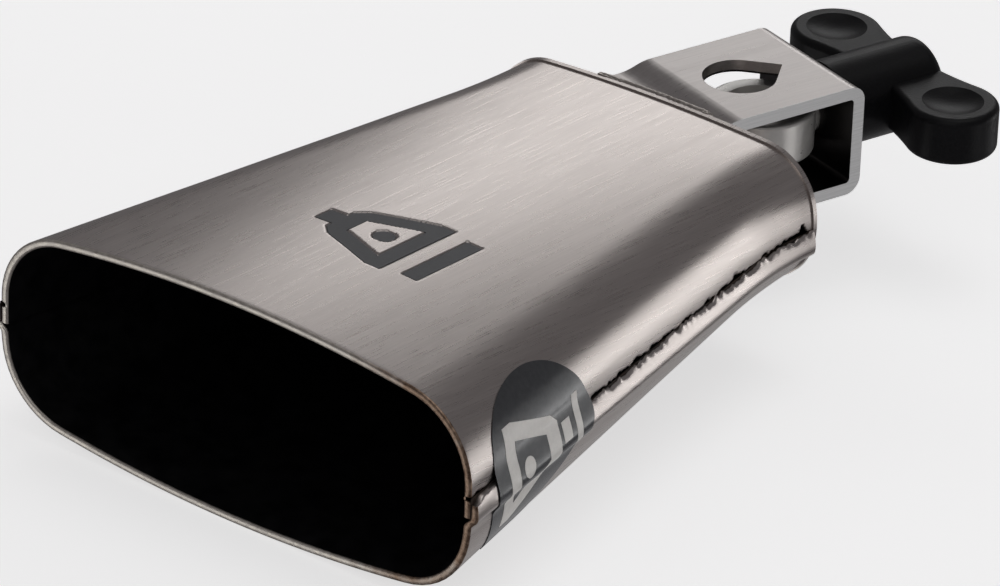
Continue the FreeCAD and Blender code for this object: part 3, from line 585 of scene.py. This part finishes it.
def upper_shell_mesh():
    """The upper half of the sheet, with the stamped mark and the crack along each seam."""
    rings = []
    brush = []
    spans = (
        RIM_SPAN,
        (RIM_ROUND, MARK_START, COARSE_STEP),
        (MARK_START, MARK_END, MARK_STEP),
        (MARK_END, BELL_LENGTH, FINE_STEP),
    )
    for y in stations(*spans):
        at = line(y)
        along = upper_columns(at)
        above = at.seam - along
        out = np.where(above > CRACK_REACH[0], crack(above, y), -EDGE_SINK)
        out = np.where(above > CRACK_REACH[1], 0.0, out)
        turn = rim_round(y)
        sides = []
        for side in (1, -1):
            x, z = at.at(along, out - turn)
            if MARK_START <= y <= MARK_END:
                x0 = side * x
                near = np.abs(x0) < MARK_HALF_WIDTH + 1
                z = z - np.where(near, pressed(x0, np.full(x.shape, y)), 0.0)
            inner_x, inner_z = at.at(along, -WALL + turn)
            outer = [to_row(side * a, y, b) for a, b in zip(x, z)]
            inner = [to_row(side * a, y, b) for a, b in zip(inner_x, inner_z)]
            sides.append((outer, inner))
        (right_out, right_in), (left_out, left_in) = sides
        rings.append(right_out[::-1] + left_out[1:] + left_in[::-1] + right_in[1:])
        # the third place is how far the sheet dips, which the rolled finish paints dark as shade
        right, left = flattened(y, along, -out)
        brush += right[::-1] + left[1:] + left[::-1] + right[1:]
    shell = solid("upper_shell_form", rings, len(rings[0]) // 2, brush=brush)
    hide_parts("upper_shell")
    return shell


# the flap's section: distances down from its edge, and how far its two faces stand out there;
# the tab at the mouth stands out more than the rest of the edge
FLAP_STEPS = np.array([0, .1, .22, .4, .7, 1.1, 1.6, 2.1, 2.6, 3.1, 3.6, 4.0, 4.4, 4.8, 5.4, 7.0])
FLAP_OUT = np.array([.28, .40, .48, .56, .68, .83, 1.0, 1.15, 1.28, 1.38, 1.43, 1.38, 1.12, .64, .12, 0.0])
TAB_OUT = np.array([.75, 1.0, 1.1, 1.16, 1.22, 1.29, 1.36, 1.42, 1.46, 1.48, 1.46, 1.36, 1.1, .64, .12, 0.0])
FLAP_IN = np.array([.1, .1, .1, .1, .1, .1, .1, .1, .1, .08, .02, -.1, -.5, -1.0, -1.35, -1.4])
EDGE_DROP = 0.25                   # how far the flap's edge keeps below the seam's line
EDGE_CALM = (38.0, 42.0)           # the edge wanders little before these stations, where the label is
TAB_CORNER = (1.6, 3.5)            # how far the tab's corner is cut down, and over what length
TAB_FADE = (4.0, 9.0)              # the tab gives way to the plain flap between these stations
EDGE_BLEND = 1.1                   # the edge's wandering is taken up within this much of the flap


def flap_edge(y):
    """How far the flap's edge wanders up from the seam's line."""
    wander = ripple(y, (9.0, 0.40, 1.7), (2.6, 0.42, 4.4), (1.1, 0.50, 7.9))
    under_label = 1 - smooth(*EDGE_CALM, y)
    cut = TAB_CORNER[0] * (1 - smooth(0.0, TAB_CORNER[1], y)) ** 2
    return wander * (1 - 0.8 * under_label) - cut - EDGE_DROP


def lower_shell_mesh():
    """The lower half of the sheet, stepped out at both sides into a flap with a ragged edge."""
    rings = []
    brush = []
    for y in stations(RIM_SPAN, (RIM_ROUND, BELL_LENGTH, FINE_STEP)):
        at = line(y)
        edge = flap_edge(y) * (1 - smooth(0.0, EDGE_BLEND, FLAP_STEPS))
        swell = 0.97 + ripple(y, (16.0, 0.05, 6.6))
        near = at.seam + FLAP_STEPS - edge
        rest = near[-1] + (at.whole - near[-1]) * np.linspace(0, 1, 32)[1:]
        along = np.concatenate([near, rest])
        turn = rim_round(y)
        profile = TAB_OUT + (FLAP_OUT - TAB_OUT) * smooth(*TAB_FADE, y)
        out = np.concatenate([profile * min(swell, 1.0), np.zeros(len(rest))]) - turn
        inn = np.concatenate([FLAP_IN, np.full(len(rest), -WALL)]) + turn * INNER_ROUND
        x, z = at.at(along, out)
        inner_x, inner_z = at.at(along, inn)
        outer = [[to_row(s * a, y, b) for a, b in zip(x, z)] for s in (1, -1)]
        inner = [[to_row(s * a, y, b) for a, b in zip(inner_x, inner_z)] for s in (1, -1)]
        rings.append(outer[0] + outer[1][::-1][1:] + inner[1] + inner[0][::-1][1:])
        right, left = flattened(y, along, np.zeros(len(along)))
        brush += right + left[::-1][1:] + left + right[::-1][1:]
    shell = solid("lower_shell_form", rings, len(rings[0]) // 2, brush=brush)
    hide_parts("lower_shell")
    return shell


# the label rises by DRAPE over the flap and comes down again, at distances below the seam's line
DRAPE = 1.5
DRAPE_UP = (-3.0, 3.4)
DRAPE_DOWN = (3.6, 6.4)


def drape(y, along):
    """How far the label stands out of the bell's plain form where it bridges the flap."""
    below = along - line(y).seam
    return float(DRAPE * (smooth(*DRAPE_UP, below) - smooth(*DRAPE_DOWN, below)))


def on_side(y, z, out):
    """A point on the bell's right side at a station and height, raised by an amount."""
    at = line(y)
    along = at.height(z)
    x, z = at.at(along, drape(y, along) + out)
    return to_row(float(x), y, float(z))


def round_curve(points, per_span):
    """A smooth closed curve through points."""
    found = []
    n = len(points)
    for i in range(n):
        p0, p1, p2, p3 = (np.array(points[(i + k) % n]) for k in (-1, 0, 1, 2))
        for j in range(per_span):
            t = j / per_span
            found.append(tuple(0.5 * (2 * p1 + (p2 - p0) * t + (2 * p0 - 5 * p1 + 4 * p2 - p3) * t * t
                                      + (3 * p1 - p0 - 3 * p2 + p3) * t ** 3)))
    return found


OUTLINE_STEP = 0.4


def straight_curve(points):
    """A closed outline with straight sides, divided finely."""
    found = []
    for (ax, ay), (bx, by) in zip(points, points[1:] + points[:1]):
        count = max(1, round(math.hypot(bx - ax, by - ay) / OUTLINE_STEP))
        found += [(ax + (bx - ax) * i / count, ay + (by - ay) * i / count) for i in range(count)]
    return found


def patch(name, outline, centre, levels, rings):
    """A thin skin with an outline given as (station, height) points, laid on the bell's right side.

    levels are how far its two faces stand out, and rings is how finely it is divided.
    """
    n = len(outline)
    y0, z0 = centre
    verts = []
    faces = []
    for level in levels[::-1]:
        base = len(verts)
        verts.append(on_side(y0, z0, level))
        for k in range(1, rings + 1):
            f = k / rings
            verts += [on_side(y0 + (y - y0) * f, z0 + (z - z0) * f, level) for y, z in outline]
        for j in range(n):
            faces.append((base, base + 1 + j, base + 1 + (j + 1) % n))
        for k in range(rings - 1):
            a = base + 1 + k * n
            for j in range(n):
                i = (j + 1) % n
                faces.append((a + j, a + n + j, a + n + i, a + i))
    a = 1 + (rings - 1) * n
    b = a + 1 + rings * n
    for j in range(n):
        i = (j + 1) % n
        faces.append((a + j, b + j, b + i, a + i))
    return piece(name, verts, faces)


# how far each layer's two faces stand out of the bell
FILM = (0.03, 0.12)
PRINT = (0.10, 0.17)
WINDOW = (0.14, 0.225)
DOT = (0.20, 0.28)
# outlines of the label and its print, as (station, height) points
LABEL_EDGE = [(7.4, 6.5), (8.8, 10.0), (12.6, 12.6), (18.5, 13.7), (24.5, 13.4), (30.0, 11.6), (34.6, 8.0),
              (37.6, 3.4), (38.2, 0.2), (37.0, -2.8), (33.0, -5.4), (26.0, -8.8), (18.0, -12.0),
              (12.6, -13.4), (9.4, -12.8), (7.9, -9.5), (7.2, -2.0)]
SIGN_CENTRE = (18.5, 0.3)
PRINT_BODY = [(11.0, -8.6), (11.0, 9.0), (13.6, 9.0), (25.4, 5.0), (27.2, 3.4), (27.2, -1.8),
              (25.4, -3.4), (13.6, -8.6)]
PRINT_WINDOW = [(14.0, -5.2), (14.0, 5.8), (23.4, 2.7), (23.4, -1.4)]
PRINT_KNOB = [(28.2, -0.9), (28.2, 2.5), (30.8, 2.5), (30.8, -0.9)]
PRINT_BAR = [(32.4, -3.4), (32.4, 5.4), (34.2, 5.4), (34.2, -3.4)]
DOT_CENTRE = (16.9, 0.3)
DOT_RADIUS = 1.7
DOT_POINTS = 32


def ring(centre, radius, count):
    """Points round a circle."""
    turns = [i * 2 * math.pi / count for i in range(count)]
    return [(centre[0] + radius * math.cos(a), centre[1] + radius * math.sin(a)) for a in turns]


label = patch("label_skin_form", round_curve(LABEL_EDGE, 8), (21.0, 1.5), FILM, 44)
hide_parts("side_label")
prints = [
    patch("label_sign", straight_curve(PRINT_BODY), SIGN_CENTRE, PRINT, 28),
    patch("label_sign_dot", ring(DOT_CENTRE, DOT_RADIUS, DOT_POINTS), DOT_CENTRE, DOT, 8),
    patch("label_sign_knob", straight_curve(PRINT_KNOB), (29.5, 0.8), PRINT, 8),
    patch("label_bar", straight_curve(PRINT_BAR), (33.3, 1.0), PRINT, 14),
]
label_window = patch("label_sign_window", straight_curve(PRINT_WINDOW), SIGN_CENTRE, WINDOW, 22)

WELD_START = -13.4                 # across the crown plate
WELD_END = 10.4
WELD_RINGS = 160
WELD_SIDES = 16
WELD_RADIUS = 0.62
WELD_FORWARD = 1.55                # of the crest's middle, past the end of the sheet
WELD_SINK = 0.1                    # of the crest's middle, below the plate's edge
WELD_TAPER = 0.8                   # the crest thins over this much at both ends
BEAD_SPACING = 1.15
BEAD_RISE = 0.06


def weld_ripple(name, side):
    """The rippled crest of a weld along the crown plate's edge."""
    rings = []
    for i in range(WELD_RINGS + 1):
        x = WELD_START + (WELD_END - WELD_START) * i / WELD_RINGS
        taper = min(1.0, min(x - WELD_START, WELD_END - x) / WELD_TAPER + 0.15)
        beads = BEAD_RISE * abs(math.sin(x * math.pi / BEAD_SPACING))
        beads += 0.05 * noise.noise((x * 1.3, side, 0.2))
        radius = (WELD_RADIUS + beads) * math.sqrt(taper)
        edge = REAR_SECTION[1] - x * x / (2 * REAR_SECTION[2])
        y = BELL_LENGTH + WELD_FORWARD + 0.12 * noise.noise((x * 0.5, side, 4.0))
        crest = ring((y, edge - WELD_SINK), radius, WELD_SIDES)
        rings.append([to_row(x, a, side * b) for a, b in crest])
    return solid(name, rings, WELD_SIDES // 2)


shells = [upper_shell_mesh(), lower_shell_mesh()]
ripples = [weld_ripple("weld_crest_top", 1), weld_ripple("weld_crest_bottom", -1)]
for obj in shells:
    for finish in (rolled_steel, rim_steel, inside_oxide_and_painted_shade):
        obj.data.materials.append(finish)
for obj in ripples:
    obj.data.materials.append(weld_metal)
for obj in prints:
    obj.data.materials.append(print_silver)
for obj in (label, label_window):
    obj.data.materials.append(label_film)

# ---------------------------------------------------------------- studio

scene = bpy.context.scene
scene.view_settings.view_transform = "Standard"
scene.view_settings.look = "None"

WHITE = (1.0, 1.0, 1.0, 1.0)


def studio_world():
    """White behind the object, and a dim grey room in its light and its reflections."""
    world = bpy.data.worlds.new("studio")
    world.use_nodes = True
    sky = world.node_tree
    sky.nodes.clear()
    backdrop = sky.nodes.new("ShaderNodeBackground")
    backdrop.inputs["Color"].default_value = WHITE
    room = sky.nodes.new("ShaderNodeBackground")
    room.inputs["Color"].default_value = (0.14, 0.135, 0.14, 1.0)
    path = sky.nodes.new("ShaderNodeLightPath")
    either = sky.nodes.new("ShaderNodeMixShader")
    sky.links.new(path.outputs["Is Camera Ray"], either.inputs["Fac"])
    sky.links.new(room.outputs[0], either.inputs[1])
    sky.links.new(backdrop.outputs[0], either.inputs[2])
    out = sky.nodes.new("ShaderNodeOutputWorld")
    sky.links.new(either.outputs[0], out.inputs["Surface"])
    return world


FLOOR_REACH = 2.5


def studio_floor():
    """A plain pale floor that glows a little, and doesn't show in the steel."""
    mesh = bpy.data.meshes.new("floor")
    corners = [(-1, -1), (1, -1), (1, 1), (-1, 1)]
    mesh.from_pydata([(x * FLOOR_REACH, y * FLOOR_REACH, 0) for x, y in corners], [], [(0, 1, 2, 3)])
    paint = Nodes("floor_paint")
    paint.set(Roughness=0.9, Emission_Color=WHITE, Emission_Strength=0.62)
    paint.colour(paint.ramp(paint.noise(paint.scaled(6.0, 6.0, 6.0)), (0.3, 0.86), (0.7, 0.90)))
    mesh.materials.append(paint.mat)
    floor = bpy.data.objects.new("floor", mesh)
    floor.visible_glossy = False
    scene.collection.objects.link(floor)
    return floor


scene.world = studio_world()
floor = studio_floor()

CENTRE = Vector((0.0, 0.0, 0.02))


def softbox(name, azimuth, elevation, distance, width, height, power):
    """A rectangular soft light facing the object, in degrees, metres and watts.

    Azimuth is from +Y towards +X.
    """
    data = bpy.data.lights.new(name, "AREA")
    data.shape = "RECTANGLE"
    data.size = width
    data.size_y = height
    data.energy = power
    box = bpy.data.objects.new(name, data)
    az = math.radians(azimuth)
    el = math.radians(elevation)
    way = Vector((math.cos(el) * math.sin(az), math.cos(el) * math.cos(az), math.sin(el)))
    box.location = CENTRE + way * distance
    box.rotation_euler = way.to_track_quat("Z", "Y").to_euler()
    scene.collection.objects.link(box)


softbox("back_left", -28.5, 23.5, 1.3, 0.54, 0.28, 0.88)
softbox("back_right", 26, -8, 1.2, 0.16, 0.50, 0.72)
softbox("right_far", 41, -10, 1.2, 0.26, 0.44, 0.42)
softbox("right_low", 72, -23, 1.2, 0.5, 0.36, 0.35)
softbox("under_back", -3, -40, 1.2, 0.8, 0.4, 0.25)
softbox("overhead", 60, 80, 1.6, 1.2, 1.2, 3.0)
softbox("front", 150, 35, 1.8, 1.0, 0.8, 1.6)
softbox("front_low", -143, -28, 1.2, 0.5, 0.4, 0.9)

CAMERA_PLACE = (0.60305, -0.85024, 0.50740)
CAMERA_TURN = (64.5846, -3.9402, 37.8565)
CAMERA_LENS = 244.07
CAMERA_SENSOR = 36.0
CAMERA_SHIFT = (0.00445, -0.01651)


def photo_camera():
    """A long lens from above and in front of the bell's right side."""
    data = bpy.data.cameras.new("camera")
    data.sensor_width = CAMERA_SENSOR
    data.lens = CAMERA_LENS
    data.shift_x, data.shift_y = CAMERA_SHIFT
    data.clip_start = 0.05
    data.clip_end = 20.0
    camera = bpy.data.objects.new("camera", data)
    camera.location = CAMERA_PLACE
    camera.rotation_euler = [math.radians(turn) for turn in CAMERA_TURN]
    scene.collection.objects.link(camera)
    return camera


scene.camera = photo_camera()
